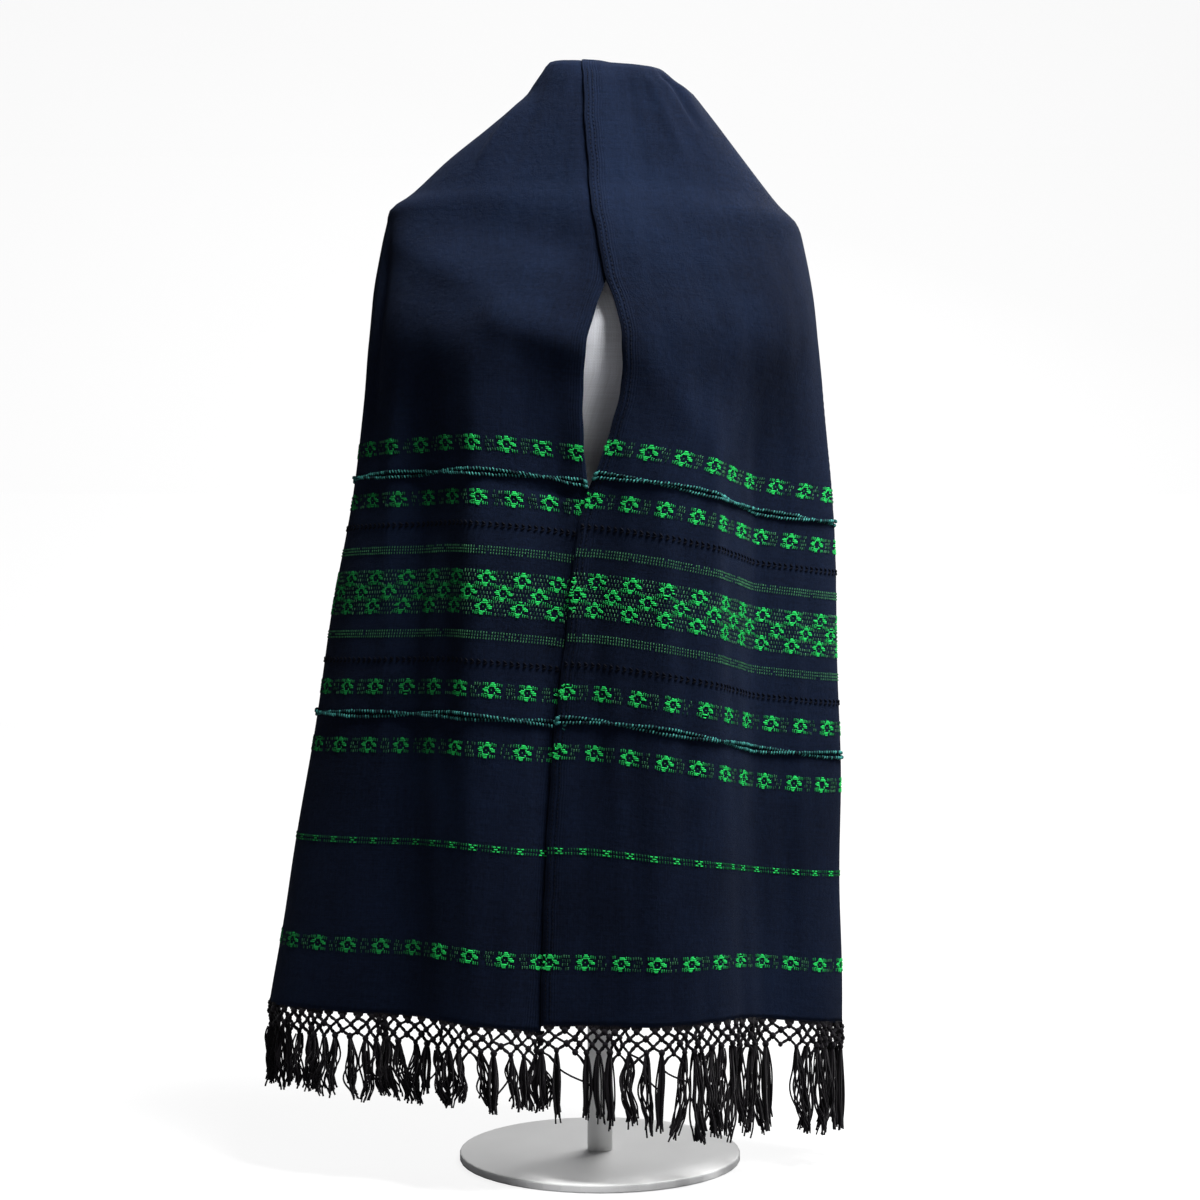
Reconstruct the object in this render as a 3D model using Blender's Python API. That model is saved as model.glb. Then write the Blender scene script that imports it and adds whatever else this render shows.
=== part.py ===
"""Rebozo shawl worn over a limbless dress form on a short table stand.

Metres, +Z up, front towards -Y, origin on the floor under the middle of the base.
The shawl is one long cloth laid over the neck: its middle stretch hangs down the back,
its two ends hang in front and end in fringe. Depths are measured down from a level
just above the top of the cloth over the neck. Turns are measured round the form: 0 at the front
middle, +90 degrees towards +X, -90 degrees towards -X and 180 degrees at the back middle.
"""
import math

import bmesh
import bpy
from mathutils import Vector

CROWN_Z = 1.100          # datum height from which depths are measured
CROWN_SINK = 0.0145      # how far the flat top over the neck lies below that datum
CROWN_TILT = 0.067       # how much more it sinks towards +X, as a slope
SINK_FADE = 0.045        # depth at which the cloth no longer lies lower for it
WALL = 0.0016            # cloth wall
GAP = 0.0003             # clearance between neighbouring pieces
RIM_GAP = 1.7 * GAP      # height between the ends and the slanting rim of the lid over the neck
LID_DEPTH = 0.012        # how far the back stretch turns down over the neck's rim
LID_TOP_DEPTH = 0.004    # depth where that rim turns into the flat top
LID_RINGS = (0.62, 0.30)   # rings of the flat top, as shares of its rim
BACK_HEM = 0.300         # depth of the selvedge across the back
FRONT_HEM = 0.945        # depth of both front hems before their slant
LAP = 0.0030             # how far the right end stands off the left one it lies over
LAP_TURN = math.radians(38.0)   # how far round the form that lift fades out
NECK_RADIUS = 0.05       # the cloth's rough radius over the neck, down to a depth of the same size
SHOULDER_RADIUS = 0.12   # and below that
SLOPE_STEP = 0.004       # turn and depth over which the cloth's slope is measured
FRONT_COLUMNS = 22
BACK_COLUMNS = 24
FORM_COLUMNS = 40
FRINGE_ROWS = 3
DISC_SIDES = 48

BASE_RADIUS = 0.140
BASE_THICKNESS = 0.008
BASE_BEVEL = 0.0015
POLE_RADIUS = 0.0125
FORM_BOTTOM = 0.720      # depth of the torso's flat underside
FORM_SQUARENESS = 2.2

NAVY = (0.012, 0.020, 0.044)
LINEN = (0.50, 0.49, 0.47)
WHITE = (0.86, 0.86, 0.85)

# depth, reach to -X, reach to +X, reach to the front, reach to the back, squareness in front, and behind
CLOTH_GIRTHS = (
    (0.000, 0.050, 0.062, 0.045, 0.050, 4.0, 2.8),
    (0.004, 0.054, 0.067, 0.050, 0.054, 3.8, 2.8),
    (0.012, 0.058, 0.073, 0.054, 0.059, 3.5, 2.7),
    (0.026, 0.065, 0.082, 0.058, 0.063, 3.0, 2.5),
    (0.045, 0.076, 0.097, 0.062, 0.067, 2.6, 2.3),
    (0.070, 0.107, 0.117, 0.069, 0.073, 2.3, 2.1),
    (0.105, 0.152, 0.144, 0.080, 0.081, 2.0, 2.0),
    (0.140, 0.190, 0.171, 0.092, 0.089, 1.9, 2.0),
    (0.153, 0.209, 0.182, 0.099, 0.094, 1.9, 2.0),
    (0.168, 0.213, 0.197, 0.107, 0.099, 1.9, 2.0),
    (0.190, 0.218, 0.204, 0.117, 0.104, 1.9, 2.0),
    (0.240, 0.227, 0.213, 0.134, 0.114, 2.1, 1.9),
    (0.290, 0.230, 0.217, 0.152, 0.122, 2.2, 1.8),
    (0.350, 0.233, 0.222, 0.152, 0.130, 2.1, 1.8),
    (0.430, 0.242, 0.229, 0.152, 0.138, 2.0, 1.8),
    (0.560, 0.264, 0.234, 0.151, 0.146, 2.0, 1.8),
    (0.700, 0.287, 0.238, 0.150, 0.150, 2.0, 1.8),
    (0.830, 0.309, 0.238, 0.149, 0.154, 2.0, 1.8),
    (0.950, 0.328, 0.240, 0.148, 0.156, 2.0, 1.8),
    (1.100, 0.346, 0.242, 0.147, 0.158, 2.0, 1.8),
)

# depth, x of the left end's inner edge, x of the right end's inner edge
INNER_EDGES = (
    (0.000, -0.003, -0.017),
    (0.100, 0.002, -0.012),
    (0.160, 0.006, -0.008),
    (0.203, 0.008, -0.002),
    (0.238, 0.005, 0.005),
    (0.270, -0.005, 0.015),
    (0.300, -0.013, 0.020),
    (0.340, -0.016, 0.019),
    (0.393, -0.016, 0.007),
    (0.425, -0.011, -0.005),
    (0.450, -0.007, -0.014),
    (0.492, -0.012, -0.023),
    (0.580, -0.023, -0.033),
    (0.700, -0.038, -0.047),
    (0.880, -0.052, -0.056),
    (0.950, -0.058, -0.057),
    (1.100, -0.064, -0.058),
)

# depth, turn in degrees where the back stretch meets the left end, and the right end;
# below the back hem, the turn of each end's outer selvedge, just round the side from the front
SIDE_FOLDS = (
    (0.000, 90.0, 90.0),
    (0.150, 90.0, 90.0),
    (0.210, 104.0, 104.0),
    (0.260, 119.0, 118.0),
    (0.300, 126.0, 125.0),
    (0.330, 119.0, 118.0),
    (0.370, 109.0, 108.0),
    (0.420, 102.5, 101.5),
    (0.500, 98.0, 97.0),
    (0.620, 96.0, 95.0),
    (1.100, 95.0, 94.0),
)

# turn in degrees from the front middle round a side, then how far out the hanging cloth stands there,
# as a share of its girth: left end, right end. Each end steps back in one long soft fold.
HANG = (
    (-40.0, 1.000, 1.000),
    (-30.0, 0.985, 0.985),
    (-20.0, 0.975, 0.965),
    (-10.0, 0.970, 0.965),
    (0.0, 0.970, 0.970),
    (10.0, 0.965, 1.012),
    (20.0, 0.965, 1.056),
    (30.0, 1.045, 1.045),
    (40.0, 1.085, 0.985),
    (50.0, 1.010, 0.900),
    (60.0, 0.940, 0.836),
    (70.0, 0.992, 0.850),
    (80.0, 1.024, 0.960),
    (86.0, 1.012, 1.008),
    (92.0, 0.985, 0.985),
    (100.0, 0.985, 0.985),
    (180.0, 1.000, 1.000),
)

# turn at the top, turn at the bottom, half width in degrees, rise, depth where it starts, full depth
FOLDS = (
    (-94.0, -96.0, 5.0, 0.005, 0.200, 0.520),
    (-112.0, -114.0, 8.0, -0.009, 0.150, 0.330),
    (-130.0, -131.0, 9.0, 0.012, 0.130, 0.330),
    (-150.0, -150.0, 9.0, -0.008, 0.130, 0.330),
    (-168.0, -168.0, 8.0, 0.010, 0.150, 0.330),
    (174.0, 174.0, 8.0, -0.007, 0.150, 0.330),
    (156.0, 156.0, 9.0, 0.011, 0.130, 0.330),
    (136.0, 136.0, 8.0, -0.009, 0.130, 0.330),
    (117.0, 118.0, 8.0, 0.010, 0.150, 0.330),
)

# turn in degrees from the front middle round a side, then how far a woven row drops there:
# left side at mid length, left side at the hem, right side at mid length, right side at the hem
ROW_SLANTS = (
    (-25.0, 0.014, 0.013, -0.003, -0.003),
    (0.0, 0.014, 0.013, 0.000, -0.003),
    (20.0, 0.007, 0.004, 0.008, -0.003),
    (45.0, 0.000, -0.006, 0.021, -0.003),
    (65.0, 0.001, -0.007, 0.031, 0.003),
    (90.0, 0.003, -0.006, 0.040, 0.018),
    (120.0, 0.002, -0.002, 0.028, 0.012),
    (180.0, 0.000, 0.000, 0.000, 0.000),
)

# depth, reach to the sides, to the front, to the back
FORM_GIRTHS = (
    (0.023, 0.034, 0.033, 0.036),
    (0.028, 0.041, 0.040, 0.044),
    (0.042, 0.046, 0.045, 0.049),
    (0.060, 0.052, 0.050, 0.056),
    (0.085, 0.076, 0.056, 0.064),
    (0.105, 0.104, 0.061, 0.069),
    (0.125, 0.134, 0.067, 0.075),
    (0.145, 0.157, 0.073, 0.079),
    (0.165, 0.176, 0.082, 0.084),
    (0.200, 0.184, 0.099, 0.090),
    (0.240, 0.180, 0.122, 0.096),
    (0.280, 0.172, 0.133, 0.097),
    (0.330, 0.162, 0.129, 0.094),
    (0.400, 0.142, 0.104, 0.086),
    (0.470, 0.134, 0.096, 0.084),
    (0.560, 0.154, 0.104, 0.097),
    (0.660, 0.170, 0.107, 0.110),
    (FORM_BOTTOM, 0.168, 0.103, 0.106),
)

BACK_ROWS = (LID_DEPTH, 0.019, 0.032, 0.048, 0.066, 0.086, 0.106, 0.126, 0.143, 0.157, 0.172, 0.192,
             0.218, 0.245, 0.272, BACK_HEM)
LOWER_ROWS = (0.322, 0.350, 0.385, 0.425, 0.470, 0.520, 0.572, 0.622, 0.668, 0.716, 0.764, 0.812,
              0.858, 0.902, FRONT_HEM)

# side, then how far the fringe reaches below its hem: at the inner edge, half way round, at the selvedge
FRINGE_REACH = (
    (-1, 0.078, 0.080, 0.080),
    (1, 0.084, 0.112, 0.108),
)


def smooth_lookup(table, depth):
    """Read a table at a depth, with a smooth curve through its rows."""
    last = len(table) - 1
    index = 0
    while index < last - 1 and depth > table[index + 1][0]:
        index += 1
    before, start = table[max(index - 1, 0)], table[index]
    end, after = table[index + 1], table[min(index + 2, last)]
    span = end[0] - start[0]
    part = min(max((depth - start[0]) / span, 0.0), 1.0)
    values = []
    for column in range(1, len(start)):
        slope_in = (end[column] - before[column]) / (end[0] - before[0]) * span
        slope_out = (after[column] - start[column]) / (after[0] - start[0]) * span
        square, cube = part * part, part ** 3
        values.append(start[column] * (2 * cube - 3 * square + 1) + slope_in * (cube - 2 * square + part)
                      + end[column] * (3 * square - 2 * cube) + slope_out * (cube - square))
    return values


def ease(value, low, high):
    """Rise smoothly from 0 at low to 1 at high."""
    part = min(max((value - low) / (high - low), 0.0), 1.0)
    return part * part * (3 - 2 * part)


def fold_rise(turn, depth):
    """How far the folds push the cloth outwards at a place."""
    total = 0.0
    for top, bottom, width, rise, start, full in FOLDS:
        middle = math.radians(top + (bottom - top) * ease(depth, start, FRONT_HEM))
        away = (turn - middle + math.pi) % (2 * math.pi) - math.pi
        total += rise * ease(depth, start, full) * math.exp(-(away / math.radians(width)) ** 2)
    return total


def row_drop(side, turn, depth):
    """How far below its level depth a woven row hangs at a turn."""
    slants = smooth_lookup(ROW_SLANTS, math.degrees(turn) * side)
    middle, hem = slants[2:] if side > 0 else slants[:2]
    share = ease(depth, 0.700, FRONT_HEM)
    return (middle * (1 - share) + hem * share) * ease(depth, 0.180, 0.400)


def ring_radius(side, reach, squareness, turn):
    """How far out one level ring is at a turn."""
    across, along = abs(math.sin(turn)), abs(math.cos(turn))
    return ((across / side) ** squareness + (along / reach) ** squareness) ** (-1 / squareness)


def ring_point(radius, turn, depth):
    """A point at that distance from the upright axis."""
    return Vector((radius * math.sin(turn), -radius * math.cos(turn), CROWN_Z - depth))


def hang_share(side, turn, depth):
    """How the hanging cloth stands in or out of its girth."""
    left, right = smooth_lookup(HANG, math.degrees(turn) * side)
    share = right if side > 0 else left
    return 1 + (share - 1) * ease(depth, 0.240, 0.440)


def cloth_point(side, turn, depth, lift=0.0):
    """A point of the cloth's outer face, on the woven row of that depth and the given side."""
    level = depth + row_drop(side, turn, depth)
    left, right, front, back, square_front, square_back = smooth_lookup(CLOTH_GIRTHS, level)
    reach, squareness = (front, square_front) if abs(turn) < math.pi / 2 else (back, square_back)
    radius = ring_radius(right if turn > 0 else left, reach, squareness, turn)
    radius *= hang_share(side, turn, level)
    radius += fold_rise(turn, level) + lift
    sink = CROWN_SINK + CROWN_TILT * radius * math.sin(turn)
    return ring_point(radius, turn, level + sink * (1 - ease(level, 0.0, SINK_FADE)))


def cloth_normal(side, turn, depth, lift=0.0):
    """The cloth's outward direction, from its neighbours round and below."""
    before, after = turn - SLOPE_STEP, turn + SLOPE_STEP
    round_way = cloth_point(side, after, depth, lift) - cloth_point(side, before, depth, lift)
    above = cloth_point(side, turn, max(depth - SLOPE_STEP, 0.0), lift)
    down_way = cloth_point(side, turn, depth + SLOPE_STEP, lift) - above
    return down_way.cross(round_way).normalized()


def side_turn(side, depth):
    """The turn of the side fold, where the back stretch meets a front end."""
    left, right = smooth_lookup(SIDE_FOLDS, depth)
    return math.radians(right if side > 0 else -left)


def inner_turn(side, depth):
    """The turn of a front end's inner edge."""
    left, right = smooth_lookup(INNER_EDGES, depth)
    front = smooth_lookup(CLOTH_GIRTHS, depth)[2]
    return math.atan2(right if side > 0 else left, front)


def lap_lift(side, turn, edge):
    """The right end stands off the left one near its inner edge."""
    return LAP * (1 - ease(abs(turn - edge), LAP_TURN * 0.4, LAP_TURN)) if side > 0 else 0.0


def seam_clearance(depth):
    """The turn that half a gap takes up at the side fold."""
    return GAP / 2 / (NECK_RADIUS if depth < NECK_RADIUS else SHOULDER_RADIUS)


def front_grid(side, depths):
    """Outer and inner points of a front end, rows down and columns from inner edge to side fold."""
    outer, inner = [], []
    for depth in depths:
        edge = inner_turn(side, depth)
        fold = side_turn(side, depth) - side * seam_clearance(depth)
        outer_row, inner_row = [], []
        for column in range(FRONT_COLUMNS + 1):
            turn = edge + (fold - edge) * column / FRONT_COLUMNS
            lift = lap_lift(side, turn, edge)
            point = cloth_point(side, turn, depth, lift)
            outer_row.append(point)
            inner_row.append(point - cloth_normal(side, turn, depth, lift) * WALL)
        outer.append(outer_row)
        inner.append(inner_row)
    return outer, inner


def wall_mesh(outer, inner):
    """A closed wall from matching grids of outer and inner points."""
    mesh = bmesh.new()
    outer = [[mesh.verts.new(point) for point in row] for row in outer]
    inner = [[mesh.verts.new(point) for point in row] for row in inner]
    last_row, last_column = len(outer) - 1, len(outer[0]) - 1
    for row in range(last_row):
        for column in range(last_column):
            for grid in (outer, inner):
                mesh.faces.new((grid[row][column], grid[row][column + 1],
                                grid[row + 1][column + 1], grid[row + 1][column]))
    for column in range(last_column):
        for row in (0, last_row):
            mesh.faces.new((outer[row][column], outer[row][column + 1],
                            inner[row][column + 1], inner[row][column]))
    for row in range(last_row):
        for column in (0, last_column):
            mesh.faces.new((outer[row][column], outer[row + 1][column],
                            inner[row + 1][column], inner[row][column]))
    return mesh


def back_stretch_mesh():
    """The back stretch: a lid over the neck, and a sheet down the back from its rear half."""
    rear_half = BACK_COLUMNS
    ring_count = 2 * BACK_COLUMNS

    def ring_turn(index, depth):
        """Turns of a full ring: the rear half first, from the left side fold round the back."""
        if index <= rear_half:
            start = -side_turn(-1, depth) + seam_clearance(depth)
            end = side_turn(1, depth) + seam_clearance(depth)
            share = index / rear_half
            return -(start + (2 * math.pi - end - start) * share)
        return math.pi / 2 - math.pi * (index - rear_half) / (ring_count - rear_half)

    def wrapped_place(index, depth):
        """The side and turn of a ring's point."""
        turn = (ring_turn(index, depth) + math.pi) % (2 * math.pi) - math.pi
        return math.copysign(1, turn), turn

    mesh = bmesh.new()
    faces = []
    rims = []
    for offset in (0.0, WALL):
        rings = []
        for depth in (LID_DEPTH, LID_TOP_DEPTH, 0.0):
            ring = []
            for index in range(ring_count):
                side, turn = wrapped_place(index, depth)
                point = cloth_point(side, turn, depth) - lid_normal(side, turn, depth) * offset
                ring.append(mesh.verts.new(point))
            rings.append(ring)
        middle = Vector((0.0, 0.0, CROWN_Z - CROWN_SINK - offset))
        for share in LID_RINGS:
            rings.append([mesh.verts.new(middle.lerp(vertex.co, share)) for vertex in rings[2]])
        centre = mesh.verts.new(middle)
        for upper, lower in zip(rings[1:], rings):
            for index in range(ring_count):
                after = (index + 1) % ring_count
                faces.append((upper[index], upper[after], lower[after], lower[index]))
        for index in range(ring_count):
            faces.append((centre, rings[-1][(index + 1) % ring_count], rings[-1][index]))
        rows = [rings[0][:rear_half + 1]]
        for depth in BACK_ROWS[1:]:
            row = []
            for index in range(rear_half + 1):
                side, turn = wrapped_place(index, depth)
                point = cloth_point(side, turn, depth) - cloth_normal(side, turn, depth) * offset
                row.append(mesh.verts.new(point))
            rows.append(row)
        for upper, lower in zip(rows, rows[1:]):
            for index in range(rear_half):
                faces.append((upper[index], upper[index + 1], lower[index + 1], lower[index]))
        rim = rings[0][rear_half:] + [rings[0][0]]
        rim += [row[0] for row in rows[1:]]
        rim += rows[-1][1:]
        rim += [row[-1] for row in reversed(rows[1:-1])]
        rims.append(rim)
    outer, inner = rims
    for index in range(len(outer)):
        after = (index + 1) % len(outer)
        faces.append((outer[index], outer[after], inner[after], inner[index]))
    for corners in faces:
        mesh.faces.new(corners)
    return mesh


def lid_normal(side, turn, depth):
    """The lid's outward direction: up on its top, sideways on its rim."""
    sideways = cloth_normal(side, turn, max(depth, 0.006))
    upright = Vector((0.0, 0.0, 1.0))
    return (sideways * ease(depth, -0.002, 0.008) + upright * (1 - ease(depth, 0.0, 0.010))).normalized()


def form_mesh():
    """The limbless torso with its neck: level rings, closed flat at both ends."""
    mesh = bmesh.new()
    rings = []
    for depth, side, front, back in FORM_GIRTHS:
        ring = []
        for column in range(FORM_COLUMNS):
            turn = 2 * math.pi * column / FORM_COLUMNS - math.pi
            reach = front if abs(turn) < math.pi / 2 else back
            radius = ring_radius(side, reach, FORM_SQUARENESS, turn)
            ring.append(mesh.verts.new(ring_point(radius, turn, depth)))
        rings.append(ring)
    for upper, lower in zip(rings, rings[1:]):
        for column in range(FORM_COLUMNS):
            after = (column + 1) % FORM_COLUMNS
            mesh.faces.new((upper[column], upper[after], lower[after], lower[column]))
    mesh.faces.new(rings[0])
    mesh.faces.new(list(reversed(rings[-1])))
    return mesh


def disc_mesh(radius, bottom, top, bevel):
    """An upright round bar or plate with bevelled rims."""
    mesh = bmesh.new()
    bmesh.ops.create_cone(mesh, cap_ends=True, segments=DISC_SIDES, radius1=radius, radius2=radius,
                          depth=top - bottom)
    bmesh.ops.translate(mesh, verts=mesh.verts, vec=(0.0, 0.0, (top + bottom) / 2))
    if bevel:
        rims = [edge for edge in mesh.edges if abs(edge.verts[0].co.z - edge.verts[1].co.z) < 1e-6]
        bmesh.ops.bevel(mesh, geom=rims, offset=bevel, segments=2, profile=0.5, affect="EDGES")
    return mesh


def add_object(name, mesh, colour, roughness, metallic=0.0, smooth=True):
    """Put a finished mesh in the scene as a named object with its own material."""
    bmesh.ops.recalc_face_normals(mesh, faces=mesh.faces)
    data = bpy.data.meshes.new(name)
    mesh.to_mesh(data)
    mesh.free()
    for polygon in data.polygons:
        polygon.use_smooth = smooth
    material = bpy.data.materials.new(name)
    material.use_nodes = True
    shader = material.node_tree.nodes["Principled BSDF"]
    shader.inputs["Base Color"].default_value = (*colour, 1.0)
    shader.inputs["Roughness"].default_value = roughness
    shader.inputs["Metallic"].default_value = metallic
    data.materials.append(material)
    part = bpy.data.objects.new(name, data)
    bpy.context.scene.collection.objects.link(part)
    return part


def fringe_mesh(side, at_edge, half_way, at_side):
    """A fringe as a plain wall from just below the hem to the ends of its tassels."""
    edge = inner_turn(side, FRONT_HEM)
    fold = side_turn(side, FRONT_HEM)
    outer, inner = [], []
    for row in range(FRINGE_ROWS + 1):
        outer_row, inner_row = [], []
        for column in range(FRONT_COLUMNS + 1):
            share = column / FRONT_COLUMNS
            reach = at_edge + (half_way - at_edge) * ease(share, 0.0, 0.4)
            reach += (at_side - half_way) * ease(share, 0.4, 1.0)
            turn = edge + (fold - edge) * share
            lift = lap_lift(side, turn, edge)
            top = cloth_point(side, turn, FRONT_HEM, lift)
            outward = cloth_normal(side, turn, FRONT_HEM, lift)
            drop = GAP + (reach - GAP) * row / FRINGE_ROWS
            point = top - Vector((0.0, 0.0, drop))
            outer_row.append(point)
            inner_row.append(point - outward * WALL)
        outer.append(outer_row)
        inner.append(inner_row)
    return wall_mesh(outer, inner)


def build():
    """Clear the scene and make every piece."""
    for old in list(bpy.data.objects):
        bpy.data.objects.remove(old, do_unlink=True)

    add_object("form_torso", form_mesh(), LINEN, 0.85)
    form_foot = CROWN_Z - FORM_BOTTOM
    add_object("stand_pole", disc_mesh(POLE_RADIUS, BASE_THICKNESS + GAP, form_foot - GAP, 0.0),
               WHITE, 0.35, smooth=False)
    add_object("stand_base", disc_mesh(BASE_RADIUS, 0.0, BASE_THICKNESS, BASE_BEVEL),
               WHITE, 0.35, smooth=False)

    add_object("shawl_back", back_stretch_mesh(), NAVY, 0.85)
    depths = (LID_DEPTH + RIM_GAP,) + BACK_ROWS[1:] + LOWER_ROWS
    add_object("shawl_front_left", wall_mesh(*front_grid(-1, depths)), NAVY, 0.85)
    add_object("shawl_front_right", wall_mesh(*front_grid(1, depths)), NAVY, 0.85)
    for side, at_edge, half_way, at_side in FRINGE_REACH:
        name = "fringe_right" if side > 0 else "fringe_left"
        add_object(name, fringe_mesh(side, at_edge, half_way, at_side), NAVY, 0.90)


build()
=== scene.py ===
import math
import random

import bmesh
import bpy
import numpy as np
from mathutils import Matrix


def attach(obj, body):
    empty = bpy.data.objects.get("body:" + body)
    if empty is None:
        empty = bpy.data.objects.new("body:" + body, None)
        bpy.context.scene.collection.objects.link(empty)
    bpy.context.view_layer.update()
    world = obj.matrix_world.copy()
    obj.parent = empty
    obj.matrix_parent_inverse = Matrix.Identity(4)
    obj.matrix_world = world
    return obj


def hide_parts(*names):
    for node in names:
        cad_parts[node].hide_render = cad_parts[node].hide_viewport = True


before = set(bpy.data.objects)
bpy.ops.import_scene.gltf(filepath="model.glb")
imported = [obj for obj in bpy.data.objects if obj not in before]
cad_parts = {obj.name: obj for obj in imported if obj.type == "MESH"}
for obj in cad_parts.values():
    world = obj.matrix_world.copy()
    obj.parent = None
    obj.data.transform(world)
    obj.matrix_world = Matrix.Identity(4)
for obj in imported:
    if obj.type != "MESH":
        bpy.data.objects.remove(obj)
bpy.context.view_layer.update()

print("frame loaded")

# The drape: depths run down from the crown over the neck, turns run round the form,
# 0 at the front middle, +90 towards +X, 180 at the back middle. Sizes in metres.
drape = {
    "crown": 1.100,               # depths run down from here
    "sink": 0.0145,               # the cloth over the neck lies this much lower
    "tilt": 0.067,                # slopes down towards +X this much
    "sinkFade": 0.045,            # and both have faded out at this depth
    "backHem": 0.300,
    "frontHem": 0.945,
    "lap": 0.0030,                # the right end stands off the left one it lies over
    "lapTurn": math.radians(38),
    # depth, reach to -X, to +X, to the front, to the back, squareness in front, and behind
    "girths": (
        (0.000, 0.050, 0.062, 0.045, 0.050, 4.0, 2.8),
        (0.004, 0.054, 0.067, 0.050, 0.054, 3.8, 2.8),
        (0.012, 0.058, 0.073, 0.054, 0.059, 3.5, 2.7),
        (0.026, 0.065, 0.082, 0.058, 0.063, 3.0, 2.5),
        (0.045, 0.076, 0.097, 0.062, 0.067, 2.6, 2.3),
        (0.070, 0.107, 0.117, 0.069, 0.073, 2.3, 2.1),
        (0.105, 0.152, 0.144, 0.080, 0.081, 2.0, 2.0),
        (0.140, 0.190, 0.171, 0.092, 0.089, 1.9, 2.0),
        (0.153, 0.209, 0.182, 0.099, 0.094, 1.9, 2.0),
        (0.168, 0.213, 0.197, 0.107, 0.099, 1.9, 2.0),
        (0.190, 0.218, 0.204, 0.117, 0.104, 1.9, 2.0),
        (0.240, 0.227, 0.213, 0.134, 0.114, 2.1, 1.9),
        (0.290, 0.230, 0.217, 0.152, 0.122, 2.2, 1.8),
        (0.350, 0.233, 0.222, 0.152, 0.130, 2.1, 1.8),
        (0.430, 0.242, 0.229, 0.152, 0.138, 2.0, 1.8),
        (0.560, 0.264, 0.234, 0.151, 0.146, 2.0, 1.8),
        (0.700, 0.287, 0.238, 0.150, 0.150, 2.0, 1.8),
        (0.830, 0.309, 0.238, 0.149, 0.154, 2.0, 1.8),
        (0.950, 0.328, 0.240, 0.148, 0.156, 2.0, 1.8),
        (1.100, 0.346, 0.242, 0.147, 0.158, 2.0, 1.8),
    ),
    # depth, x of the left end's inner edge, x of the right end's inner edge
    "innerEdges": (
        (0.000, -0.003, -0.017),
        (0.100, 0.002, -0.012),
        (0.160, 0.006, -0.008),
        (0.203, 0.008, -0.002),
        (0.238, 0.005, 0.005),
        (0.270, -0.005, 0.015),
        (0.300, -0.013, 0.020),
        (0.340, -0.016, 0.019),
        (0.393, -0.016, 0.007),
        (0.425, -0.011, -0.005),
        (0.450, -0.007, -0.014),
        (0.492, -0.012, -0.023),
        (0.580, -0.023, -0.033),
        (0.700, -0.038, -0.047),
        (0.880, -0.052, -0.056),
        (0.950, -0.058, -0.057),
        (1.100, -0.064, -0.058),
    ),
    # depth, turn where the back stretch meets the left end, and the right end
    "sideFolds": (
        (0.000, 90.0, 90.0),
        (0.150, 90.0, 90.0),
        (0.210, 104.0, 104.0),
        (0.260, 119.0, 118.0),
        (0.300, 126.0, 125.0),
        (0.330, 119.0, 118.0),
        (0.370, 109.0, 108.0),
        (0.420, 102.5, 101.5),
        (0.500, 98.0, 97.0),
        (0.620, 96.0, 95.0),
        (1.100, 95.0, 94.0),
    ),
    # turn on its own side, then how far out the hanging cloth stands as a share: left end, right end
    "hang": (
        (-40.0, 1.000, 1.000),
        (-30.0, 0.985, 0.985),
        (-20.0, 0.975, 0.965),
        (-10.0, 0.970, 0.965),
        (0.0, 0.970, 0.970),
        (10.0, 0.965, 1.012),
        (20.0, 0.965, 1.056),
        (30.0, 1.045, 1.045),
        (40.0, 1.085, 0.985),
        (50.0, 1.010, 0.900),
        (60.0, 0.940, 0.836),
        (70.0, 0.992, 0.850),
        (80.0, 1.024, 0.960),
        (86.0, 1.012, 1.008),
        (92.0, 0.985, 0.985),
        (100.0, 0.985, 0.985),
        (180.0, 1.000, 1.000),
    ),
    # turn at the top, turn at the bottom, half width, rise, depth where it starts, full depth
    "folds": (
        (-94.0, -96.0, 5.0, 0.005, 0.200, 0.520),
        (-112.0, -114.0, 8.0, -0.009, 0.150, 0.330),
        (-130.0, -131.0, 9.0, 0.012, 0.130, 0.330),
        (-150.0, -150.0, 9.0, -0.008, 0.130, 0.330),
        (-168.0, -168.0, 8.0, 0.010, 0.150, 0.330),
        (174.0, 174.0, 8.0, -0.007, 0.150, 0.330),
        (156.0, 156.0, 9.0, 0.011, 0.130, 0.330),
        (136.0, 136.0, 8.0, -0.009, 0.130, 0.330),
        (117.0, 118.0, 8.0, 0.010, 0.150, 0.330),
    ),
    # turn on its own side, then how far a woven row drops on the left end at mid length and at its hem,
    # and on the right end at both
    "rowSlants": (
        (-25.0, 0.014, 0.013, -0.003, -0.003),
        (0.0, 0.014, 0.013, 0.000, -0.003),
        (20.0, 0.007, 0.004, 0.008, -0.003),
        (45.0, 0.000, -0.006, 0.021, -0.003),
        (65.0, 0.001, -0.007, 0.031, 0.003),
        (90.0, 0.003, -0.006, 0.040, 0.018),
        (120.0, 0.002, -0.002, 0.028, 0.012),
        (180.0, 0.000, 0.000, 0.000, 0.000),
    ),
    # slight waves of unlike lengths: how fast each goes round the form and down it, its start and its height
    "ripples": ((23.0, 9.0, 0.0, 0.00035), (37.0, -14.0, 1.3, 0.00022), (11.0, 31.0, 0.7, 0.00045)),
}


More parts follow.
